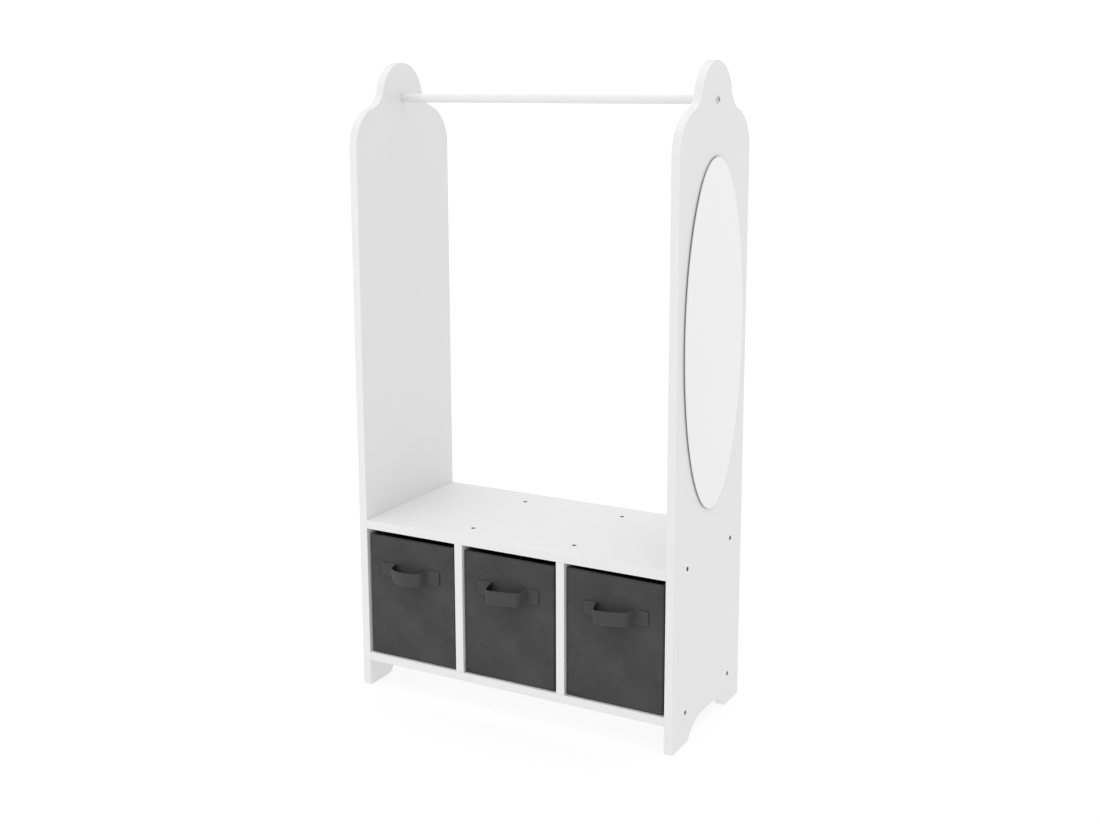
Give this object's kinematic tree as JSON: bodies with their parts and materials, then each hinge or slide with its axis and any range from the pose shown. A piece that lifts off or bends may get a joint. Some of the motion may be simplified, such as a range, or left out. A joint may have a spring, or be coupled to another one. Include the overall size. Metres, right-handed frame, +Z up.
{
  "type": "dress-up storage unit with mirror",
  "caption": "Child's open clothes rail between two arched side panels, over a shelf with pull-out fabric bins in cubbies, with an oval mirror on one side.",
  "frame": {"origin": "on the floor, in the middle of the width, and in the middle of the depth that the unit and its bin handles take up", "axes": "+X to the right as seen from the front, towards the panel with the mirror; +Y to the back; +Z up"},
  "size_m": [0.6057, 0.3014, 1.088],
  "materials": {
    "white_board": "white satin paint on fibreboard",
    "white_hardboard": "white painted hardboard",
    "white_rail": "white satin paint on a round wooden bar",
    "beech": "bare beech",
    "dark_steel": "blackened steel",
    "bright_steel": "zinc plated",
    "mirror_glass": "silvered glass with a ground edge",
    "foam_tape": "double-sided foam tape",
    "grey_fabric": "dark grey nonwoven fabric",
    "stiff_card": "grey-brown board",
    "grey_webbing": "folded strap of dark grey fabric"
  },
  "bodies": {
    "carcass": {"left_side_panel": "white_board", "right_side_panel": "white_board", "shelf": "white_board", "bottom_board": "white_board", "left_divider": "white_board", "right_divider": "white_board", "back_panel": "white_hardboard", "hanging_rail": "white_rail", "rail_screws": "bright_steel", "left_side_screws": "dark_steel", "right_side_screws": "dark_steel", "shelf_screws": "dark_steel", "base_screws": "dark_steel", "locating_dowels": "beech", "mirror": "mirror_glass", "mirror_tape": "foam_tape"},
    "left_bin": {"left_bin_cover": "grey_fabric", "left_bin_wall_boards": "stiff_card", "left_bin_lining": "grey_fabric", "left_bin_base_board": "stiff_card", "left_bin_handle": "grey_webbing"},
    "middle_bin": {"middle_bin_cover": "grey_fabric", "middle_bin_wall_boards": "stiff_card", "middle_bin_lining": "grey_fabric", "middle_bin_base_board": "stiff_card", "middle_bin_handle": "grey_webbing"},
    "right_bin": {"right_bin_cover": "grey_fabric", "right_bin_wall_boards": "stiff_card", "right_bin_lining": "grey_fabric", "right_bin_base_board": "stiff_card", "right_bin_handle": "grey_webbing"}
  },
  "joints": [
    {"name": "left_bin_slide", "type": "slide", "parent": "carcass", "child": "left_bin", "axis": [0, -1, 0], "range_m": [0, 0.27]},
    {"name": "middle_bin_slide", "type": "slide", "parent": "carcass", "child": "middle_bin", "axis": [0, -1, 0], "range_m": [0, 0.27]},
    {"name": "right_bin_slide", "type": "slide", "parent": "carcass", "child": "right_bin", "axis": [0, -1, 0], "range_m": [0, 0.27]}
  ]
}
